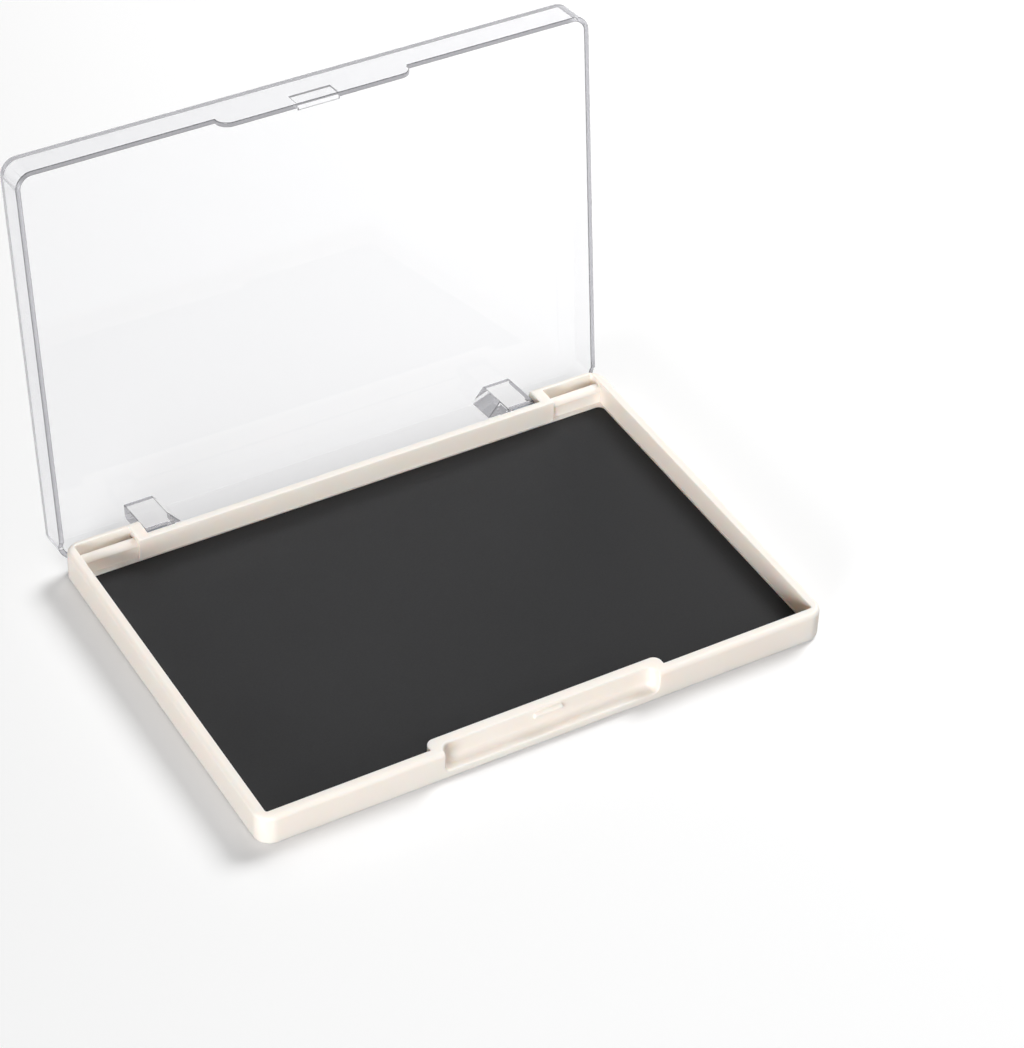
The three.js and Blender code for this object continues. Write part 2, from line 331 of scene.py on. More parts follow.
class RoundedBlockTree(SizedTree):
    """Block with rounded corners: an edge profile swept round a rectangle, closed above and below."""

    name = "rounded_block"
    sizes = ("Width", "Depth", "Bottom", "Top", "Corner", "Lower Edge", "Upper Edge")

    def shape(self) -> bpy.types.NodeSocket:
        """Builds the path, the wall that is swept along it and the two caps.

        Returns:
            The socket with the closed block.
        """
        tree, size = self.tree, self.inputs
        inset = add_node(
            tree, "ShaderNodeMath", {0: size["Lower Edge"], 1: size["Upper Edge"]}, operation="MAXIMUM",
        ).outputs[0]
        both = add_node(tree, "ShaderNodeMath", {0: inset, 1: 2.0}, operation="MULTIPLY").outputs[0]
        width, depth, radius = (
            add_node(tree, "ShaderNodeMath", {0: size[name], 1: less}, operation="SUBTRACT").outputs[0]
            for name, less in (("Width", both), ("Depth", both), ("Corner", inset))
        )
        sides = add_node(tree, "GeometryNodeCurvePrimitiveQuadrilateral", {"Width": width, "Height": depth})
        path = add_node(
            tree, "GeometryNodeFilletCurve",
            {"Curve": sides.outputs[0], "Count": 2 * ARC_STEPS, "Radius": radius},
            mode="POLY",
        ).outputs[0]
        wall = self.swept_wall(path, inset)
        below = add_node(tree, "GeometryNodeFlipFaces", {"Mesh": self.cap(path, size["Bottom"])}).outputs[0]
        whole = add_node(tree, "GeometryNodeJoinGeometry")
        for part in (wall, below, self.cap(path, size["Top"])):
            tree.links.new(part, whole.inputs[0])
        closed = add_node(
            tree, "GeometryNodeMergeByDistance", {"Geometry": whole.outputs[0], "Distance": SEAM},
        )
        return closed.outputs[0]

    def swept_wall(self, path: bpy.types.NodeSocket, inset: bpy.types.NodeSocket) -> bpy.types.NodeSocket:
        """Sweeps the rounded edge profile along the path.

        Args:
            path: Curve that the profile follows.
            inset: Distance from the path out to the wall.

        Returns:
            The socket with the wall's mesh.
        """
        tree, size = self.tree, self.inputs
        # A swept profile's own y points down
        low, high = (
            add_node(tree, "ShaderNodeMath", {0: size[name], 1: -1.0}, operation="MULTIPLY").outputs[0]
            for name in ("Bottom", "Top")
        )
        edge = self.polyline([(0.0, high), (inset, high), (inset, low), (0.0, low)])
        radii = self.by_index("FLOAT", [0.0, size["Upper Edge"], size["Lower Edge"], 0.0])
        profile = add_node(
            tree, "GeometryNodeFilletCurve",
            {"Curve": edge, "Count": ARC_STEPS, "Radius": radii},
            mode="POLY",
        )
        upright = add_node(tree, "GeometryNodeSetCurveNormal", {"Curve": path}, mode="Z_UP")
        return add_node(
            tree, "GeometryNodeCurveToMesh",
            {"Curve": upright.outputs[0], "Profile Curve": profile.outputs[0]},
        ).outputs[0]

    def cap(self, path: bpy.types.NodeSocket, height: bpy.types.NodeSocket) -> bpy.types.NodeSocket:
        """Fills the path with a flat face at a height.

        Args:
            path: Closed curve to fill.
            height: Height of the face.

        Returns:
            The socket with the face.
        """
        face = add_node(self.tree, "GeometryNodeFillCurve", {"Curve": path}, mode="NGONS")
        rise = add_node(self.tree, "ShaderNodeCombineXYZ", {"Z": height})
        return add_node(
            self.tree, "GeometryNodeTransform",
            {"Geometry": face.outputs[0], "Translation": rise.outputs[0]},
        ).outputs[0]


class DowelTree(SizedTree):
    """The two dowel pins of the hinge: one chamfered pin, repeated at both ends of the axis."""

    name = "dowel_pair"
    sizes = ("Radius", "Chamfer", "Half Length", "Offset", "Axis Y", "Axis Z")

    def shape(self) -> bpy.types.NodeSocket:
        """Builds one pin along its own path and stands it on a point at each end of the axis.

        Returns:
            The socket with both pins.
        """
        tree, size = self.tree, self.inputs
        half, radius, offset = size["Half Length"], size["Radius"], size["Offset"]
        shoulder, tip = (
            add_node(tree, "ShaderNodeMath", {0: full, 1: size["Chamfer"]}, operation="SUBTRACT").outputs[0]
            for full in (half, radius)
        )
        low_end, low_shoulder, left = (
            add_node(tree, "ShaderNodeMath", {0: high, 1: -1.0}, operation="MULTIPLY").outputs[0]
            for high in (half, shoulder, offset)
        )
        path = self.polyline([(x,) for x in (low_end, low_shoulder, shoulder, half)])
        thickness = self.by_index("FLOAT", [tip, radius, radius, tip])
        ring = add_node(tree, "GeometryNodeCurvePrimitiveCircle", {"Resolution": PIN_FACETS, "Radius": 1.0})
        pin = add_node(
            tree, "GeometryNodeCurveToMesh",
            {"Curve": path, "Profile Curve": ring.outputs[0], "Scale": thickness, "Fill Caps": True},
        )
        places = self.polyline([(x, size["Axis Y"], size["Axis Z"]) for x in (left, offset)])
        stands = add_node(tree, "GeometryNodeCurveToPoints", {"Curve": places}, mode="EVALUATED")
        return add_node(
            tree, "GeometryNodeInstanceOnPoints",
            {"Points": stands.outputs[0], "Instance": pin.outputs[0]},
        ).outputs[0]


def plain_mesh(holder: bpy.types.Object) -> bpy.types.Mesh:
    """Turns an object with its modifiers to a plain mesh and removes the object.

    Args:
        holder: Object to evaluate.

    Returns:
        The evaluated mesh.
    """
    graph = bpy.context.evaluated_depsgraph_get()
    mesh = bpy.data.meshes.new_from_object(holder.evaluated_get(graph))
    spent = holder.data
    bpy.data.objects.remove(holder)
    bpy.data.meshes.remove(spent)
    return mesh


class Solid:
    """A closed mesh in millimetres that is joined to others, cut by them and softened."""

    def __init__(self, mesh: bpy.types.Mesh) -> None:
        """Takes a closed mesh."""
        self.mesh = mesh

    @classmethod
    def prism(cls, profile: Sequence[Point], axis: Axis, low: float, high: float) -> Solid:
        """Sweeps a profile straight along an axis.

        Args:
            profile: Closed outline.
            axis: Direction of the sweep.
            low: Where the sweep starts.
            high: Where the sweep ends.

        Returns:
            The closed prism.
        """
        shell = bmesh.new()
        rings = [[shell.verts.new(axis.place(u, v, along)) for u, v in profile] for along in (low, high)]
        for ring in rings:
            shell.faces.new(ring)
        for i in range(len(profile)):
            shell.faces.new((rings[0][i - 1], rings[0][i], rings[1][i], rings[1][i - 1]))
        bmesh.ops.recalc_face_normals(shell, faces=shell.faces)
        return cls.from_shell(shell)

    @classmethod
    def bar(
        cls, radius: float, centre: Point, ends: Span, facets: int = BAR_FACETS, first: float = 0.0,
    ) -> Solid:
        """Makes a round bar along X.

        Args:
            radius: The bar's radius.
            centre: Its axis in y and z.
            ends: Lowest and highest x.
            facets: Facets round the bar.
            first: Angle of the first facet's edge, in radians.

        Returns:
            The closed bar.
        """
        turns = [first + 2 * math.pi * i / facets for i in range(facets)]
        circle = [(centre[0] + radius * math.cos(t), centre[1] + radius * math.sin(t)) for t in turns]
        return cls.prism(circle, Axis.X, *ends)

    @classmethod
    def from_shell(cls, shell: bmesh.types.BMesh) -> Solid:
        """Keeps a closed shell as a mesh and frees it.

        Args:
            shell: The shell, which is used up.

        Returns:
            The solid.
        """
        mesh = bpy.data.meshes.new("solid")
        shell.to_mesh(mesh)
        shell.free()
        return cls(mesh)

    def combine(self, other: Solid, operation: Operation) -> Solid:
        """Combines this solid with another.

        Args:
            other: The second solid, which is used up.
            operation: How they are combined.

        Returns:
            The combined solid.
        """
        host, tool = (bpy.data.objects.new("solid", part.mesh) for part in (self, other))
        for holder in (host, tool):
            bpy.context.scene.collection.objects.link(holder)
        modifier = host.modifiers.new("combine", "BOOLEAN")
        modifier.operation = operation.value
        modifier.solver = "MANIFOLD"
        modifier.object = tool
        mesh = plain_mesh(host)
        bpy.data.objects.remove(tool)
        bpy.data.meshes.remove(other.mesh)
        return Solid(mesh)

    def join(self, *others: Solid) -> Solid:
        """Joins solids to this one, in order."""
        return reduce(lambda whole, other: whole.combine(other, Operation.JOIN), others, self)

    def cut(self, *others: Solid) -> Solid:
        """Cuts solids out of this one, in order."""
        return reduce(lambda whole, other: whole.combine(other, Operation.CUT), others, self)

    def meet(self, other: Solid) -> Solid:
        """Keeps what this solid and another share."""
        return self.combine(other, Operation.MEET)

    def soften(self, width: float, segments: int = 3, where: EdgeTest = lambda start, end: True) -> Solid:
        """Rounds the sharp edges, as a mould's worn edges do.

        Args:
            width: Width of the rounding.
            segments: Faces across the rounding.
            where: Test of an edge's two end points.

        Returns:
            This solid.
        """
        shell = bmesh.new()
        shell.from_mesh(self.mesh)
        bmesh.ops.remove_doubles(shell, verts=shell.verts, dist=WELD)
        sharp = [
            edge for edge in shell.edges
            if edge.is_convex and edge.calc_face_angle(0.0) > SOFT_TURN
            and where(edge.verts[0].co, edge.verts[1].co)
        ]
        bmesh.ops.bevel(
            shell, geom=sharp, offset=width, offset_type="OFFSET", segments=segments, profile=0.5,
            affect="EDGES", clamp_overlap=False,
        )
        bmesh.ops.remove_doubles(shell, verts=shell.verts, dist=WELD)
        bmesh.ops.dissolve_degenerate(shell, edges=shell.edges, dist=SLIVER)
        self.mesh.clear_geometry()
        shell.to_mesh(self.mesh)
        shell.free()
        return self

    def mark_bends(self, limit: float) -> Solid:
        """Stores how tightly each face bends outwards, from zero to one.

        Args:
            limit: Bend radius from which a face counts as flat.

        Returns:
            This solid.
        """
        shell = bmesh.new()
        shell.from_mesh(self.mesh)
        mark = shell.faces.layers.float.new(BEND_MARK)
        for face in shell.faces:
            width = 2 * face.calc_area() / face.calc_perimeter()
            longest = max(edge.calc_length() for edge in face.edges)
            long_edges = [edge for edge in face.edges if edge.calc_length() > longest / 2]
            turn = max(edge.calc_face_angle_signed(0.0) for edge in long_edges)
            face[mark] = max(0.0, 1.0 - width / max(turn, NO_TURN) / limit)
        shell.to_mesh(self.mesh)
        shell.free()
        return self

    def turned(self, matrix: Matrix) -> Solid:
        """Moves the mesh by a matrix."""
        self.mesh.transform(matrix)
        return self

    def piece(self, name: str, material: bpy.types.Material) -> bpy.types.Object:
        """Makes the finished piece in metres.

        Args:
            name: The piece's name.
            material: Its finish.

        Returns:
            The object, at the origin.
        """
        mesh = self.mesh
        mesh.name = name
        mesh.transform(Matrix.Scale(MM, 4))
        mesh.materials.clear()
        mesh.materials.append(material)
        mesh.shade_smooth()
        mesh.set_sharp_from_angle(angle=SMOOTH_TURN)
        holder = bpy.data.objects.new(name, mesh)
        bpy.context.scene.collection.objects.link(holder)
        even = holder.modifiers.new("even_shading", "WEIGHTED_NORMAL")
        even.keep_sharp = True
        return holder


class Finish(ABC):
    """A real material and how its surface was made."""

    name: str

    @abstractmethod
    def nodes(self, tree: bpy.types.NodeTree, place: bpy.types.NodeSocket) -> bpy.types.Node:
        """Builds the surface and gives its last shader node.

        Args:
            tree: The material's node tree.
            place: Object coordinates, in metres.

        Returns:
            The node whose first output is the surface.
        """

    def material(self) -> bpy.types.Material:
        """Makes the node material.

        Returns:
            The material, named for the finish.
        """
        material = bpy.data.materials.new(self.name)
        material.use_nodes = True
        tree = material.node_tree
        tree.nodes.clear()
        place = add_node(tree, "ShaderNodeTexCoord").outputs["Object"]
        surface = self.nodes(tree, place)
        add_node(tree, "ShaderNodeOutputMaterial", {"Surface": surface.outputs[0]})
        return material


# Polystyrene, injection moulded in a lightly textured mould: an even cream with soft, broad highlights
@dataclass(frozen=True)
class MouldedPolystyrene(Finish):
    """Cream moulded polystyrene, with its sizes in millimetres."""

    name: str = "moulded_polystyrene"
    colour: str = "#F4EDE6"
    flow_colour: str = "#F2E8DF"
    flow_size: float = 16.0
    grain_size: float = 0.45
    grain_depth: float = 0.02
    grain_strength: float = 0.12
    roughness: Span = (0.36, 0.48)
    ior: float = 1.55
    scatter: float = 0.7
    scatter_reach: float = 2.0
    scatter_spread: Triple = (1.0, 0.75, 0.6)

    def nodes(self, tree: bpy.types.NodeTree, place: bpy.types.NodeSocket) -> bpy.types.Node:
        """Builds flow clouds in the colour and a fine grain in gloss and height.

        Args:
            tree: The material's node tree.
            place: Object coordinates, in metres.

        Returns:
            The surface's last shader node.
        """
        flow = add_node(
            tree, "ShaderNodeTexNoise",
            {"Vector": place, "Scale": per_metre(self.flow_size), "Detail": 3.0},
        )
        colour = add_node(
            tree, "ShaderNodeMix",
            {FACTOR: flow.outputs[0], COLOUR_A: linear(self.colour), COLOUR_B: linear(self.flow_colour)},
            data_type="RGBA",
        )
        # The real mould texture is about 0.1 mm and too fine to show, so it is drawn coarser
        grain = add_node(
            tree, "ShaderNodeTexNoise",
            {"Vector": place, "Scale": per_metre(self.grain_size), "Detail": 2.0},
        )
        gloss = add_node(
            tree, "ShaderNodeMapRange",
            {"Value": grain.outputs[0], "To Min": self.roughness[0], "To Max": self.roughness[1]},
        )
        bump = add_node(
            tree, "ShaderNodeBump",
            {"Height": grain.outputs[0], "Strength": self.grain_strength, "Distance": self.grain_depth * MM},
        )
        return add_node(tree, "ShaderNodeBsdfPrincipled", {
            "Base Color": colour.outputs[MIXED], "Roughness": gloss.outputs[0], "Normal": bump.outputs[0],
            "IOR": self.ior, "Subsurface Weight": self.scatter, "Subsurface Radius": self.scatter_spread,
            "Subsurface Scale": self.scatter_reach * MM,
        })


# Ferrite powder in rubber, calendered to a sheet: near black and matt, with a fine even grain
@dataclass(frozen=True)
class FerriteRubber(Finish):
    """Black bonded ferrite sheet, with its sizes in millimetres."""

    name: str = "calendered_ferrite_rubber"
    colour: str = "#2B2B2C"
    dark_colour: str = "#202021"
    grain_size: float = 0.35
    grain_depth: float = 0.03
    grain_strength: float = 0.12
    cloud_size: float = 22.0
    roughness: Span = (0.38, 0.46)
    ior: float = 1.5
    mirror_level: float = 0.1

    def nodes(self, tree: bpy.types.NodeTree, place: bpy.types.NodeSocket) -> bpy.types.Node:
        """Builds a fine grain in colour and height and broad clouds in gloss.

        Args:
            tree: The material's node tree.
            place: Object coordinates, in metres.

        Returns:
            The surface's last shader node.
        """
        # Ferrite grains are a few hundredths of a millimetre and too fine to show, so they are drawn coarser
        grain = add_node(
            tree, "ShaderNodeTexNoise",
            {"Vector": place, "Scale": per_metre(self.grain_size), "Detail": 4.0, "Roughness": 0.7},
        )
        colour = add_node(
            tree, "ShaderNodeMix",
            {FACTOR: grain.outputs[0], COLOUR_A: linear(self.dark_colour), COLOUR_B: linear(self.colour)},
            data_type="RGBA",
        )
        cloud = add_node(
            tree, "ShaderNodeTexNoise",
            {"Vector": place, "Scale": per_metre(self.cloud_size), "Detail": 2.0},
        )
        gloss = add_node(
            tree, "ShaderNodeMapRange",
            {"Value": cloud.outputs[0], "To Min": self.roughness[0], "To Max": self.roughness[1]},
        )
        bump = add_node(
            tree, "ShaderNodeBump",
            {"Height": grain.outputs[0], "Strength": self.grain_strength, "Distance": self.grain_depth * MM},
        )
        return add_node(tree, "ShaderNodeBsdfPrincipled", {
            "Base Color": colour.outputs[MIXED], "Roughness": gloss.outputs[0], "Normal": bump.outputs[0],
            "IOR": self.ior, "Specular IOR Level": self.mirror_level,
        })


# Clear polystyrene, moulded in a polished mould: glass-like, with faint flow waves, painted dark shade at its
# tight edges and a painted soft grey where light is mirrored inside it
@dataclass(frozen=True)
class ClearPolystyrene(Finish):
    """Clear moulded polystyrene, with its sizes in millimetres."""

    name: str = "clear_moulded_polystyrene"
    colour: str = "#FDFDFE"
    painted_edge_shade: str = "#2C2C30"
    mirror: str = "#BCBCBC"
    # Painted grey for light that is mirrored inside the plastic
    painted_inner_grey: str = "#C0C0C4"
    wave_size: float = 28.0
    wave_depth: float = 0.2
    wave_strength: float = 0.05
    roughness: Span = (0.0, 0.03)
    ior: float = 1.55

    def clear(self, tree: bpy.types.NodeTree, place: bpy.types.NodeSocket) -> bpy.types.Node:
        """Builds the clear plastic itself, with dark shade painted into its colour where it bends tightly.

        Args:
            tree: The material's node tree.
            place: Object coordinates, in metres.

        Returns:
            The clear shader node.
        """
        wave = add_node(
            tree, "ShaderNodeTexNoise",
            {"Vector": place, "Scale": per_metre(self.wave_size), "Detail": 1.0},
        )
        gloss = add_node(
            tree, "ShaderNodeMapRange",
            {"Value": wave.outputs[0], "To Min": self.roughness[0], "To Max": self.roughness[1]},
        )
        bump = add_node(
            tree, "ShaderNodeBump",
            {"Height": wave.outputs[0], "Strength": self.wave_strength, "Distance": self.wave_depth * MM},
        )
        # Painted shade: the colour turns dark at tight bends, in place of the dark edge lines that refraction
        # would show
        bend = add_node(tree, "ShaderNodeAttribute", attribute_name=BEND_MARK).outputs["Fac"]
        painted_edge_tint = add_node(
            tree, "ShaderNodeMix",
            {FACTOR: bend, COLOUR_A: linear(self.colour), COLOUR_B: linear(self.painted_edge_shade)},
            data_type="RGBA",
        )
        return add_node(tree, "ShaderNodeBsdfPrincipled", {
            "Base Color": painted_edge_tint.outputs[MIXED], "Roughness": gloss.outputs[0], "Normal": bump.outputs[0],
            "IOR": self.ior, "Transmission Weight": 1.0, "Specular Tint": linear(self.mirror),
        })

    def nodes(self, tree: bpy.types.NodeTree, place: bpy.types.NodeSocket) -> bpy.types.Node:
        """Builds clear plastic that lets the lamps through to what is behind it.

        Args:
            tree: The material's node tree.
            place: Object coordinates, in metres.

        Returns:
            The surface's last shader node.
        """
        # Painted grey: rays mirrored inside the plastic are shaded a soft grey in place of their reflections,
        # half diffuse and half lit through from the far side
        front, back = (
            add_node(tree, kind, {"Color": linear(self.painted_inner_grey)})
            for kind in ("ShaderNodeBsdfDiffuse", "ShaderNodeBsdfTranslucent")
        )
        painted_inner_grey = add_node(tree, "ShaderNodeMixShader", {0: 0.5, 1: front.outputs[0], 2: back.outputs[0]})
        rays = add_node(tree, "ShaderNodeLightPath").outputs
        inside = add_node(
            tree, "ShaderNodeMath", {0: rays["Transmission Depth"], 1: 0.5}, operation="GREATER_THAN",
        )
        trapped = add_node(
            tree, "ShaderNodeMath",
            {0: rays["Is Reflection Ray"], 1: inside.outputs[0]},
            operation="MULTIPLY",
        )
        clear = self.clear(tree, place)
        seen = add_node(
            tree, "ShaderNodeMixShader", {0: trapped.outputs[0], 1: clear.outputs[0], 2: painted_inner_grey.outputs[0]},
        )
        lit = add_node(
            tree, "ShaderNodeMath",
            {0: rays["Is Shadow Ray"], 1: rays["Is Diffuse Ray"]},
            operation="MAXIMUM",
        )
        through = add_node(tree, "ShaderNodeBsdfTransparent", {"Color": WHITE})
        return add_node(
            tree, "ShaderNodeMixShader", {0: lit.outputs[0], 1: seen.outputs[0], 2: through.outputs[0]},
        )


# Steel wire, drawn and cut: grey metal with fine lines along its length
@dataclass(frozen=True)
class DrawnSteel(Finish):
    """Drawn steel wire, with its sizes in millimetres."""

    name: str = "drawn_steel"
    colour: str = "#B9BDC2"
    line_colour: str = "#A2A6AB"
    line_width: float = 0.12
    line_length: float = 6.0
    roughness: Span = (0.22, 0.38)

    def nodes(self, tree: bpy.types.NodeTree, place: bpy.types.NodeSocket) -> bpy.types.Node:
        """Builds drawing lines along the pin in colour and gloss.

        Args:
            tree: The material's node tree.
            place: Object coordinates, in metres.

        Returns:
            The surface's last shader node.
        """
        squeezed = add_node(
            tree, "ShaderNodeMapping",
            {"Vector": place, "Scale": (self.line_width / self.line_length, 1.0, 1.0)},
        )
        lines = add_node(
            tree, "ShaderNodeTexNoise",
            {"Vector": squeezed.outputs[0], "Scale": per_metre(self.line_width), "Detail": 2.0},
        )
        colour = add_node(
            tree, "ShaderNodeMix",
            {FACTOR: lines.outputs[0], COLOUR_A: linear(self.line_colour), COLOUR_B: linear(self.colour)},
            data_type="RGBA",
        )
        gloss = add_node(
            tree, "ShaderNodeMapRange",
            {"Value": lines.outputs[0], "To Min": self.roughness[0], "To Max": self.roughness[1]},
        )
        return add_node(tree, "ShaderNodeBsdfPrincipled", {
            "Base Color": colour.outputs[MIXED], "Roughness": gloss.outputs[0], "Metallic": 1.0,
        })


# Acrylic adhesive film: a waxy, yellowish clear layer with small bubbles
@dataclass(frozen=True)
class AcrylicFilm(Finish):
    """Acrylic transfer adhesive, with its sizes in millimetres."""

    name: str = "acrylic_adhesive_film"
    colour: str = "#E6DFC6"
    bubble_colour: str = "#EFEAD8"
    bubble_size: float = 1.2
    roughness: Span = (0.35, 0.55)
    ior: float = 1.47

    def nodes(self, tree: bpy.types.NodeTree, place: bpy.types.NodeSocket) -> bpy.types.Node:
        """Builds small pale bubbles in a waxy film.

        Args:
            tree: The material's node tree.
            place: Object coordinates, in metres.

        Returns:
            The surface's last shader node.
        """
        bubbles = add_node(
            tree, "ShaderNodeTexVoronoi", {"Vector": place, "Scale": per_metre(self.bubble_size)},
        ).outputs["Distance"]
        colour = add_node(
            tree, "ShaderNodeMix",
            {FACTOR: bubbles, COLOUR_A: linear(self.bubble_colour), COLOUR_B: linear(self.colour)},
            data_type="RGBA",
        )
        gloss = add_node(
            tree, "ShaderNodeMapRange",
            {"Value": bubbles, "To Min": self.roughness[0], "To Max": self.roughness[1]},
        )
        return add_node(tree, "ShaderNodeBsdfPrincipled", {
            "Base Color": colour.outputs[MIXED], "Roughness": gloss.outputs[0], "IOR": self.ior,
        })


@dataclass(frozen=True)
class CaseSizes:
    """Sizes that more than one piece follows, in millimetres."""

    width: float = 105.0
    depth: float = 74.0
    base_height: float = 6.0
    lid_height: float = 7.0
    corner: float = 3.0
    rim_gap: float = 0.15
    floor: float = 1.0
    side_wall: float = 1.8
    front_wall: float = 1.9
    front_corner: float = 0.4
    back_corner: float = 1.2
    rail_wall: float = 1.4
    film: float = 0.15
    sheet: float = 0.65
    ledge: float = 0.2
    scoop_width: float = 39.7
    scoop_depth: float = 2.2
    scoop_wall: float = 1.85
    scoop_corner: float = 1.5
    nib_height: float = 1.1
    nib_reach: float = 0.6
    nib_drop: float = 0.7
    hinge_inset: float = 2.0
    hinge_drop: float = 2.2
    knuckle_radius: float = 1.5
    knuckle_clearance: float = 0.25
    swing_clearance: float = 0.25
    stop_gap: float = 0.25
    end_block: float = 14.2
    cheek: float = 2.2
    lug_width: float = 5.3
    lug_side_gap: float = 0.3
    lug_end_wall: float = 0.8
    pin_radius: float = 0.6

    @property
    def front(self) -> float:
        """Lowest y of the case."""
        return -self.depth / 2

    @property
    def back(self) -> float:
        """Highest y of the closed case."""
        return self.depth / 2

    @property
    def side(self) -> float:
        """Highest x of the case."""
        return self.width / 2

    @property
    def hinge(self) -> Point:
        """The hinge axis in y and z."""
        return self.back - self.hinge_inset, self.base_height - self.hinge_drop

    @property
    def rim(self) -> float:
        """Height of the closed lid's rim."""
        return self.base_height + self.rim_gap

    @property
    def lid_top(self) -> float:
        """Height of the closed lid's top."""
        return self.rim + self.lid_height

    @property
    def sheet_bottom(self) -> float:
        """Height of the magnet sheet's underside."""
        return self.floor + self.film

    @property
    def sheet_top(self) -> float:
        """Height of the magnet sheet's face."""
        return self.sheet_bottom + self.sheet

    @property
    def notch_front(self) -> float:
        """Front of the notch that the knuckles turn in."""
        return self.hinge[0] - self.knuckle_radius - self.knuckle_clearance

    @property
    def rail_front(self) -> float:
        """Front face of the back rail."""
        return self.notch_front - self.rail_wall

    @property
    def block_inner(self) -> float:
        """Inner side of the end blocks."""
        return self.side - self.end_block

    @property
    def pocket_inner(self) -> float:
        """Inner side of the pin pockets."""
        return self.block_inner + self.cheek

    @property
    def lug_outer(self) -> float:
        """Outer side of the hinge lugs."""
        return self.block_inner - self.lug_side_gap

    @property
    def lug_inner(self) -> float:
        """Inner side of the hinge lugs."""
        return self.lug_outer - self.lug_width

    @property
    def scoop_back(self) -> float:
        """Back wall of the thumb scoop."""
        return self.front + self.scoop_depth

    @property
    def nib_bottom(self) -> float:
        """Underside of the snap nib."""
        return self.base_height - self.nib_drop - self.nib_height

    @property
    def relief_radius(self) -> float:
        """Radius that the lid's back wall is cleared to round the axis."""
        return math.hypot(self.hinge_inset, self.hinge_drop) + self.swing_clearance

    @property
    def open_angle(self) -> float:
        """Angle of the lid at its open stop, in radians."""
        reach = math.acos((self.hinge_inset + self.stop_gap) / self.relief_radius)
        return math.pi / 2 + reach - math.asin(self.hinge_inset / self.relief_radius)

    @property
    def skirt_drop(self) -> float:
        """How far the lid's back skirt hangs below the axis."""
        reach = self.knuckle_radius + self.knuckle_clearance - self.stop_gap
        return (reach + self.hinge_inset * math.cos(self.open_angle)) / math.sin(self.open_angle)

    @property
    def notch_floor(self) -> float:
        """Floor of the hinge notch."""
        swing = math.hypot(self.hinge_inset, self.skirt_drop) + self.swing_clearance
        return min(self.floor, self.hinge[1] - swing)

    def sheet_outline(self, inset: float) -> list[Point]:
        """Draws the sheet with its notch round the thumb scoop.

        Args:
            inset: Distance from the tray's walls.

        Returns:
            The outline's points.
        """
        edge = self.side - self.side_wall - inset
        near, far = self.front + self.front_wall + inset, self.rail_front - inset
        notch = self.scoop_width / 2 + self.scoop_wall + inset
        notch_far = self.scoop_back + self.scoop_wall + inset
        bend = min(self.scoop_corner + inset, (notch_far - near) * ROUND_SHARE)
        return rounded([
            (-edge, near, self.front_corner), (-notch, near, 0.0), (-notch, notch_far, bend),
            (notch, notch_far, bend), (notch, near, 0.0), (edge, near, self.front_corner),
            (edge, far, self.back_corner), (-edge, far, self.back_corner),
        ])


def mount(piece: bpy.types.Object, body: Body, slot: Slot, *nodes: str) -> None:
    """Puts a piece on its body in place of its CAD nodes.

    Args:
        piece: The finished piece.
        body: Body that it rides on.
        slot: Record slot of its finish; not used.
        nodes: CAD nodes that it stands for.
    """
    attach(piece, body.value)
    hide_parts(*nodes)
    LOG.info("%s: %d faces on %s", piece.name, len(piece.data.polygons), body.value)


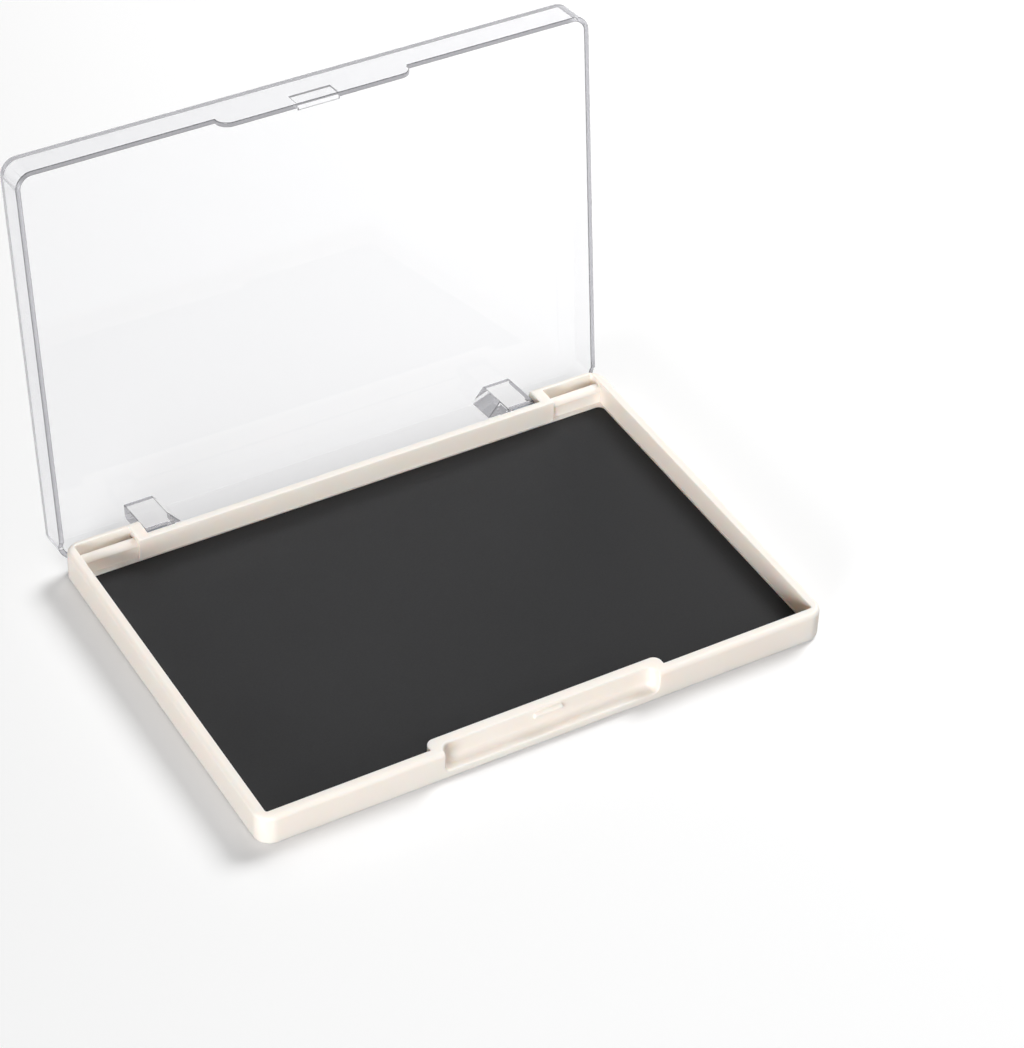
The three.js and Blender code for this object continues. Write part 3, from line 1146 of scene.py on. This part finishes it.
@dataclass
class Tray:
    """Cream tray in one moulding."""

    case: CaseSizes
    blocks: RoundedBlockTree
    finish: Finish = MouldedPolystyrene()
    edge_radius: float = 0.8
    soft_edge: float = 0.18
    scoop_lip: float = 1.9
    scoop_bend: float = 1.0
    scoop_edge: float = 0.3
    scoop_segments: int = 5
    mouth_margin: float = 0.1
    rim_margin: float = 0.5
    bore_margin: float = 0.15
    nib_length: float = 5.3
    nib_edge: float = 0.18
    nib_crown: float = 0.7
    nib_foot: float = 0.25
    pocket_width: float = 1.7
    pocket_corner: float = 0.6
    bead_setback: float = 0.6
    bead_drop: float = 0.9
    bead_radius: float = 1.0
    bead_step: float = 0.2
    press_gap: float = 0.05

    @property
    def above(self) -> float:
        """Height that every cut runs up to."""
        return self.case.base_height + CUT_OVER

    @property
    def bore_radius(self) -> float:
        """Radius of the pins' bores in the cheeks."""
        return self.case.pin_radius + self.press_gap

    def shell(self, material: bpy.types.Material) -> Solid:
        """Makes the outer block with its hollow round the scoop's wall and the sheet's seat.

        Args:
            material: The tray's finish.

        Returns:
            The open shell.
        """
        case = self.case
        block = Solid(self.blocks.run(
            material, width=case.width, depth=case.depth, bottom=0.0, top=case.base_height,
            corner=case.corner, lower_edge=self.edge_radius, upper_edge=self.edge_radius,
        ))
        hollow, seat = case.sheet_outline(0.0), case.sheet_outline(case.ledge)
        return (
            block.cut(Solid.prism(hollow, Axis.Z, case.sheet_top, self.above))
            .cut(Solid.prism(seat, Axis.Z, case.floor, self.above))
        )

    def end_void(self, hand: Side) -> Solid:
        """Makes what is open in one end block: the strip behind the sheet, the bead's top and the pin pocket.

        Args:
            hand: Left or right block.

        Returns:
            The void to cut out.
        """
        case = self.case
        bead_front, crest = case.rail_front + self.bead_setback, case.base_height - self.bead_drop
        pocket_front, pocket_back = (case.hinge[0] + sign * self.pocket_width / 2 for sign in (-1, 1))
        pocket_floor = case.hinge[1] - self.bore_radius
        radius = min(self.bead_radius, (pocket_front - bead_front) * ROUND_SHARE)
        bead_wall = bead_front + self.bead_step
        bead = quarter_arc(
            Vector((bead_front + radius, crest - radius)), Vector((-radius, 0)), Vector((0, radius)),
        )
        start = case.rail_front - case.back_corner - CUT_OVER
        before, behind = start - CUT_OVER, pocket_back + CUT_OVER
        profile = [
            (before, case.sheet_top), (bead_wall, case.sheet_top),
            (bead_wall, crest - radius - self.bead_step), *bead, (pocket_front, crest),
            (pocket_front, pocket_floor), (behind, pocket_floor), (behind, self.above), (before, self.above),
        ]
        inner, outer = case.pocket_inner, case.side - case.side_wall
        plan = rounded([
            (inner, start, 0.0), (outer, start, 0.0),
            (outer, pocket_back, self.pocket_corner), (inner, pocket_back, 0.0),
        ])
        bounds = Solid.prism([(hand.value * x, y) for x, y in plan], Axis.Z, 0.0, self.above + CUT_OVER)
        return Solid.prism(profile, Axis.X, *hand.span(inner - CUT_OVER, outer + CUT_OVER)).meet(bounds)

    def bore(self, hand: Side) -> Solid:
        """Makes the pin's bore through one cheek."""
        ends = hand.span(self.case.lug_outer, self.case.pocket_inner + self.pocket_width)
        return Solid.bar(self.bore_radius, self.case.hinge, ends)

    def scoop(self, material: bpy.types.Material) -> Solid:
        """Makes the thumb scoop: a trough with round ends and a round floor, open above and to the front.

        Args:
            material: The tray's finish.

        Returns:
            The trough to cut out.
        """
        case = self.case
        reach = case.scoop_depth + 2 * self.scoop_bend + CUT_OVER
        trough = Solid(self.blocks.run(
            material, width=case.scoop_width, depth=reach, bottom=self.scoop_lip,
            top=self.above + self.scoop_bend, corner=case.scoop_corner,
            lower_edge=self.scoop_bend, upper_edge=self.scoop_bend / 2,
        ))
        return trough.turned(Matrix.Translation((0.0, case.scoop_back - reach / 2, 0.0)))

    def nib(self) -> Solid:
        """Makes the snap nib on the scoop's back wall, with a sloped top.

        Returns:
            The nib, rooted in the wall.
        """
        case = self.case
        low, height, face = case.nib_bottom, case.nib_height, case.scoop_back
        root, tip = face + case.scoop_wall / 2, face - case.nib_reach
        profile = [
            (root, low), (root, low + height), (face, low + height), (tip, low + height * self.nib_crown),
            (tip, low + height * self.nib_foot), (face - case.nib_reach / 2, low),
        ]
        return Solid.prism(profile, Axis.X, -self.nib_length / 2, self.nib_length / 2).soften(self.nib_edge)

    def is_mouth(self, start: Vector, end: Vector) -> bool:
        """Tells whether an edge is on the rim of the thumb scoop."""
        side, back = (size + self.mouth_margin for size in (self.case.scoop_width / 2, self.case.scoop_back))
        return all(abs(point.x) < side and point.y < back for point in (start, end))

    def is_rim(self, start: Vector, end: Vector) -> bool:
        """Tells whether an edge is one that the mould rounds: above the sheet and off the bores.

        Args:
            start: One end of the edge.
            end: Its other end.

        Returns:
            True where the edge is rounded.
        """
        y, z = self.case.hinge
        low = min(start.z, end.z)
        off_axis = min(math.hypot(point.y - y, point.z - z) for point in (start, end))
        return low > self.case.sheet_top + self.rim_margin and off_axis > self.bore_radius + self.bore_margin

    def build(self) -> None:
        """Makes the tray and puts it on the base."""
        case, material = self.case, self.finish.material()
        notch = rectangle(-case.block_inner, case.block_inner, case.notch_front, case.back + CUT_OVER)
        tray = (
            self.shell(material)
            .cut(Solid.prism(notch, Axis.Z, case.notch_floor, self.above))
            .cut(*(self.end_void(hand) for hand in Side))
            .cut(self.scoop(material))
            .soften(self.scoop_edge, self.scoop_segments, self.is_mouth)
            .soften(self.soft_edge, where=self.is_rim)
            .cut(*(self.bore(hand) for hand in Side))
            .join(self.nib())
        )
        mount(tray.piece("cream_tray", material), Body.BASE, Slot.CREAM, "base_tray")


@dataclass
class MagnetInlay:
    """Black magnet sheet and the adhesive film under it."""

    case: CaseSizes
    finish: Finish = FerriteRubber()
    glue: Finish = AcrylicFilm()
    clearance: float = 0.1
    cut_edge: float = 0.05

    def build(self) -> None:
        """Makes the film and the sheet and puts them on the base."""
        case = self.case
        outline = case.sheet_outline(case.ledge + self.clearance)
        film = Solid.prism(outline, Axis.Z, case.floor, case.sheet_bottom)
        mount(film.piece("glue_film", self.glue.material()), Body.BASE, Slot.ADHESIVE, "adhesive_film")
        sheet = Solid.prism(outline, Axis.Z, case.sheet_bottom, case.sheet_top)
        sheet.soften(self.cut_edge, segments=2)
        mount(sheet.piece("magnet_inlay", self.finish.material()), Body.BASE, Slot.FERRITE, "magnet_sheet")


@dataclass
class HingePins:
    """The two dowel pins of the hinge."""

    case: CaseSizes
    finish: Finish = DrawnSteel()
    chamfer: float = 0.12
    end_gap: float = 0.3

    def build(self) -> None:
        """Makes both pins in one mesh and puts them on the base."""
        case, material = self.case, self.finish.material()
        outer = case.pocket_inner - self.chamfer
        inner = case.lug_inner + case.lug_end_wall + self.end_gap
        pins = Solid(DowelTree().run(
            material, radius=case.pin_radius, chamfer=self.chamfer, half_length=(outer - inner) / 2,
            offset=(outer + inner) / 2, axis_y=case.hinge[0], axis_z=case.hinge[1],
        ))
        piece = pins.piece("hinge_dowels", material)
        mount(piece, Body.BASE, Slot.STEEL, "hinge_pin_left", "hinge_pin_right")


@dataclass
class Lid:
    """Clear lid in one moulding, made closed and turned open."""

    case: CaseSizes
    blocks: RoundedBlockTree
    finish: Finish = ClearPolystyrene()
    wall: float = 0.85
    panel: float = 1.0
    edge_radius: float = 1.07
    inner_edge: float = 0.5
    soft_edge: float = 0.12
    lug_edge: float = 0.16
    flat_bend: float = 0.5
    tab_width: float = 35.2
    tab_corner: float = 2.3
    catch_length: float = 7.6
    catch_height: float = 0.5
    catch_edge: float = 0.1
    pocket_height: float = 3.0
    pocket_depth: float = 0.35
    latch_play: float = 0.1
    latch_gap: float = 0.2
    gusset: float = 2.4
    running_gap: float = 0.1
    relief_facets: int = 28
    walls_kept: float = 1.5

    @property
    def catch_top(self) -> float:
        """Top of the catch, just under the closed nib."""
        return self.case.nib_bottom - self.latch_play

    @property
    def tab_bottom(self) -> float:
        """Lower edge of the front tab."""
        return self.catch_top - self.catch_height

    def shell(self, material: bpy.types.Material) -> Solid:
        """Makes the rounded cover with its hollow, cut off at the rim round its front tab and its back skirt.

        Args:
            material: The lid's finish.

        Returns:
            The cover, open below.
        """
        case = self.case
        low = case.rim - case.lid_height
        cover = Solid(self.blocks.run(
            material, width=case.width, depth=case.depth, bottom=low, top=case.lid_top,
            corner=case.corner, lower_edge=self.edge_radius, upper_edge=self.edge_radius,
        ))
        hollow = Solid(self.blocks.run(
            material, width=case.width - 2 * self.wall, depth=case.depth - 2 * self.wall,
            bottom=low - CUT_OVER, top=case.lid_top - self.panel, corner=case.corner - self.wall,
            lower_edge=self.inner_edge, upper_edge=self.inner_edge,
        ))
        inside = case.depth / 2 - self.walls_kept * self.wall
        between = Solid.prism(
            rectangle(-case.width, case.width, -inside, inside), Axis.Z, low - 2 * CUT_OVER, case.rim,
        )
        cover = cover.cut(hollow, between, self.below_tab(), self.below_skirt())
        return cover.cut(*(self.relief(hand) for hand in Side))

    def relief(self, hand: Side) -> Solid:
        """Makes the round cut that clears the back wall beside the skirt.

        Args:
            hand: Left or right of the skirt.

        Returns:
            The bar to cut out, with a facet's edge just behind the wall.
        """
        case = self.case
        behind = math.acos((case.hinge_inset + case.swing_clearance) / case.relief_radius)
        ends = hand.span(case.lug_outer, case.width)
        return Solid.bar(case.relief_radius, case.hinge, ends, self.relief_facets, behind)

    def hanging(self, half: float, bottom: float, corner: float) -> list[Point]:
        """Draws what lies below the rim on both sides of a flap that hangs from it, in x and z.

        Args:
            half: Half the flap's width.
            bottom: The flap's lower edge.
            corner: Rounding of its lower corners.

        Returns:
            The outline's points.
        """
        case = self.case
        far, low = case.width, case.rim - case.lid_height - 2 * CUT_OVER
        return rounded([
            (-far, low, 0.0), (far, low, 0.0), (far, case.rim, 0.0), (half, case.rim, 0.0),
            (half, bottom, corner), (-half, bottom, corner), (-half, case.rim, 0.0), (-far, case.rim, 0.0),
        ])

    def below_tab(self) -> Solid:
        """Makes the cut that leaves the front tab with its rounded lower corners."""
        outline = self.hanging(self.tab_width / 2, self.tab_bottom, self.tab_corner)
        return Solid.prism(outline, Axis.Y, self.case.front - CUT_OVER, self.case.front + 2 * self.wall)

    def below_skirt(self) -> Solid:
        """Makes the cut that leaves the back skirt, which hangs down into the hinge notch."""
        outline = self.hanging(self.case.lug_outer, self.case.hinge[1] - self.case.skirt_drop, 0.0)
        return Solid.prism(outline, Axis.Y, self.case.back - 2 * self.wall, self.case.back + CUT_OVER)

    def catch_pocket(self) -> Solid:
        """Makes the shallow pocket above the catch, where the nib comes to rest.

        Returns:
            The pocket to cut out.
        """
        floor = self.case.front + self.wall - self.pocket_depth
        profile = rectangle(floor, floor + CUT_OVER, self.catch_top, self.catch_top + self.pocket_height)
        return Solid.prism(profile, Axis.X, -self.catch_length / 2, self.catch_length / 2)

    def catch(self) -> Solid:
        """Makes the catch on the tab's inner face, which snaps under the nib.

        Returns:
            The catch, rooted in the tab.
        """
        case = self.case
        face = case.front + self.wall
        reach = case.scoop_depth - self.wall - case.nib_reach - self.latch_gap
        profile = [
            (face - self.wall / 2, self.tab_bottom), (face + reach / 2, self.tab_bottom),
            (face + reach, self.tab_bottom + self.catch_height / 2), (face + reach, self.catch_top),
            (face - self.wall / 2, self.catch_top),
        ]
        half = self.catch_length / 2
        return Solid.prism(profile, Axis.X, -half, half).soften(self.catch_edge, segments=2)

    def lug(self, hand: Side) -> Solid:
        """Makes one hinge lug: an arm from the panel to a round knuckle on the axis.

        Args:
            hand: Left or right lug.

        Returns:
            The lug without its bore.
        """
        case, top = self.case, self.case.lid_top - self.panel / 2
        axis, r = Vector(case.hinge), case.knuckle_radius
        knuckle = quarter_arc(axis, Vector((-r, 0)), Vector((0, -r)))
        knuckle += quarter_arc(axis, Vector((0, -r)), Vector((r, 0)))[1:]
        profile = [*knuckle, (axis.x + r, top), (axis.x - r, top)]
        return Solid.prism(profile, Axis.X, *hand.span(case.lug_inner, case.lug_outer)).soften(self.lug_edge)

    def brace(self, hand: Side) -> Solid:
        """Makes the sloped brace from a lug's front to the lid's back wall.

        Args:
            hand: Left or right brace.

        Returns:
            The brace.
        """
        case = self.case
        lug_front, root = case.hinge[0] - case.knuckle_radius, case.back - self.wall / 2
        middle, foot = (case.lug_inner + case.lug_outer) / 2, case.lug_inner - self.gusset
        corners = [
            (case.lug_inner, lug_front), (foot, case.back - self.wall), (foot, root), (middle, root),
            (middle, lug_front + self.wall / 2),
        ]
        plan = [(hand.value * x, y) for x, y in corners]
        brace = Solid.prism(plan, Axis.Z, case.rim, case.lid_top - self.panel / 2)
        return brace.soften(self.lug_edge, where=lambda start, end: max(start.z, end.z) < case.rim + LEVEL)

    def bore(self, hand: Side) -> Solid:
        """Makes the blind bore that turns on a pin."""
        ends = hand.span(self.case.lug_inner + self.case.lug_end_wall, self.case.lug_outer + CUT_OVER)
        return Solid.bar(self.case.pin_radius + self.running_gap, self.case.hinge, ends)

    def opened(self) -> Matrix:
        """Gives the turn from closed to the open stop."""
        axis = Matrix.Translation((0.0, *self.case.hinge))
        return axis @ Matrix.Rotation(-self.case.open_angle, 4, "X") @ axis.inverted()

    def build(self) -> None:
        """Makes the lid and puts it on its body."""
        material = self.finish.material()
        lid = (
            self.shell(material)
            .soften(self.soft_edge)
            .cut(self.catch_pocket())
            .join(self.catch())
            .join(*(self.lug(hand) for hand in Side))
            .join(*(self.brace(hand) for hand in Side))
            .cut(*(self.bore(hand) for hand in Side))
            # The bend mark is where the clear finish paints dark edge shade
            .mark_bends(self.flat_bend)
            .turned(self.opened())
        )
        mount(lid.piece("clear_lid", material), Body.LID, Slot.CLEAR, "lid")


@dataclass(frozen=True)
class Lamp:
    """A soft studio lamp aimed at a point, in metres and watts."""

    name: str
    place: Triple
    size: float
    power: float
    aim: Triple = (0.0, 0.0, 0.02)

    def build(self) -> None:
        """Hangs the lamp."""
        light = bpy.data.lights.new(self.name, "AREA")
        light.shape = "DISK"
        light.size = self.size
        light.energy = self.power
        holder = bpy.data.objects.new(self.name, light)
        holder.location = self.place
        holder.rotation_euler = (Vector(self.place) - Vector(self.aim)).to_track_quat("Z", "Y").to_euler()
        bpy.context.scene.collection.objects.link(holder)


@dataclass
class Studio:
    """Pale floor, plain soft light and the camera at the photograph's angle. Its eye is in millimetres."""

    lamps: tuple[Lamp, ...] = (
        Lamp("key_lamp", (0.55, 0.16, 0.52), 0.34, 4.9),
        Lamp("back_lamp", (0.24, 0.57, 0.57), 0.35, 1.0),
        Lamp("fill_lamp", (-0.69, -0.537, 0.1), 0.4, 8.7),
        Lamp("front_lamp", (-0.1, -0.75, 0.52), 0.4, 2.3),
    )
    sky_level: float = 0.09
    floor_size: float = 6.0
    floor_colour: str = "#FAFAFA"
    floor_bounce: str = "#707070"
    floor_lift: float = 0.03
    zenith: float = 0.4
    eye: Triple = (-217.526, -373.437, 385.927)
    pitch_roll_heading: Triple = (49.5821, -1.9838, -30.0214)
    lens: float = 118.518
    sensor: float = 36.0
    nearest: float = 0.01

    def seen(self, tree: bpy.types.NodeTree) -> bpy.types.NodeSocket:
        """Adds a test for rays that show a surface to the eye, also by way of gloss or glass.

        Args:
            tree: Node tree that gets the test.

        Returns:
            The socket that is one for such rays.
        """
        rays = add_node(tree, "ShaderNodeLightPath").outputs
        shown = rays["Is Camera Ray"]
        for way in ("Is Glossy Ray", "Is Transmission Ray"):
            shown = add_node(tree, "ShaderNodeMath", {0: shown, 1: rays[way]}, operation="MAXIMUM").outputs[0]
        return shown

    def sky(self) -> None:
        """Makes an even sky that is seen as white."""
        world = bpy.data.worlds.new("white_studio")
        world.use_nodes = True
        tree = world.node_tree
        tree.nodes.clear()
        light = add_node(tree, "ShaderNodeBackground", {"Color": WHITE, "Strength": self.sky_level})
        way = add_node(tree, "ShaderNodeTexCoord").outputs["Generated"]
        height = add_node(tree, "ShaderNodeSeparateXYZ", {"Vector": way}).outputs["Z"]
        fade = add_node(tree, "ShaderNodeMapRange", {"Value": height, "To Min": 1.0, "To Max": self.zenith})
        white = add_node(tree, "ShaderNodeBackground", {"Color": WHITE, "Strength": fade.outputs[0]})
        mixed = add_node(
            tree, "ShaderNodeMixShader", {0: self.seen(tree), 1: light.outputs[0], 2: white.outputs[0]},
        )
        add_node(tree, "ShaderNodeOutputWorld", {"Surface": mixed.outputs[0]})
        bpy.context.scene.world = world

    def floor(self) -> None:
        """Lays the pale floor, lifted to white where it is seen."""
        material = bpy.data.materials.new("studio_floor")
        material.use_nodes = True
        tree = material.node_tree
        tree.nodes.clear()
        paper = add_node(tree, "ShaderNodeBsdfDiffuse", {"Color": linear(self.floor_colour)})
        lift = add_node(tree, "ShaderNodeEmission", {"Color": WHITE, "Strength": self.floor_lift})
        lifted = add_node(tree, "ShaderNodeAddShader", {0: paper.outputs[0], 1: lift.outputs[0]})
        bounce = add_node(tree, "ShaderNodeBsdfDiffuse", {"Color": linear(self.floor_bounce)})
        whole = add_node(
            tree, "ShaderNodeMixShader", {0: self.seen(tree), 1: bounce.outputs[0], 2: lifted.outputs[0]},
        )
        add_node(tree, "ShaderNodeOutputMaterial", {"Surface": whole.outputs[0]})
        half = self.floor_size / 2
        mesh = bpy.data.meshes.new("studio_floor")
        corners = [(x, y, 0.0) for x, y in rectangle(-half, half, -half, half)]
        mesh.from_pydata(corners, [], [tuple(range(len(corners)))])
        mesh.materials.append(material)
        holder = bpy.data.objects.new("studio_floor", mesh)
        bpy.context.scene.collection.objects.link(holder)

    def camera(self) -> None:
        """Sets the camera where the photograph was taken from."""
        data = bpy.data.cameras.new("photo_camera")
        data.lens = self.lens
        data.sensor_width = self.sensor
        data.sensor_fit = "AUTO"
        data.clip_start = self.nearest
        holder = bpy.data.objects.new("photo_camera", data)
        holder.location = Vector(self.eye) * MM
        holder.rotation_euler = Euler([math.radians(angle) for angle in self.pitch_roll_heading], "XYZ")
        bpy.context.scene.collection.objects.link(holder)
        bpy.context.scene.camera = holder

    def build(self) -> None:
        """Sets up floor, sky, lamps and camera."""
        self.camera()
        self.floor()
        self.sky()
        for lamp in self.lamps:
            lamp.build()
        bpy.context.scene.view_settings.view_transform = "Standard"


def main() -> None:
    """Builds the studio and the case's pieces in order."""
    logging.basicConfig(level=logging.INFO, format="%(message)s")
    case, blocks = CaseSizes(), RoundedBlockTree()
    Studio().build()
    for part in (Tray(case, blocks), MagnetInlay(case), HingePins(case), Lid(case, blocks)):
        part.build()


if __name__ == "__main__":
    main()
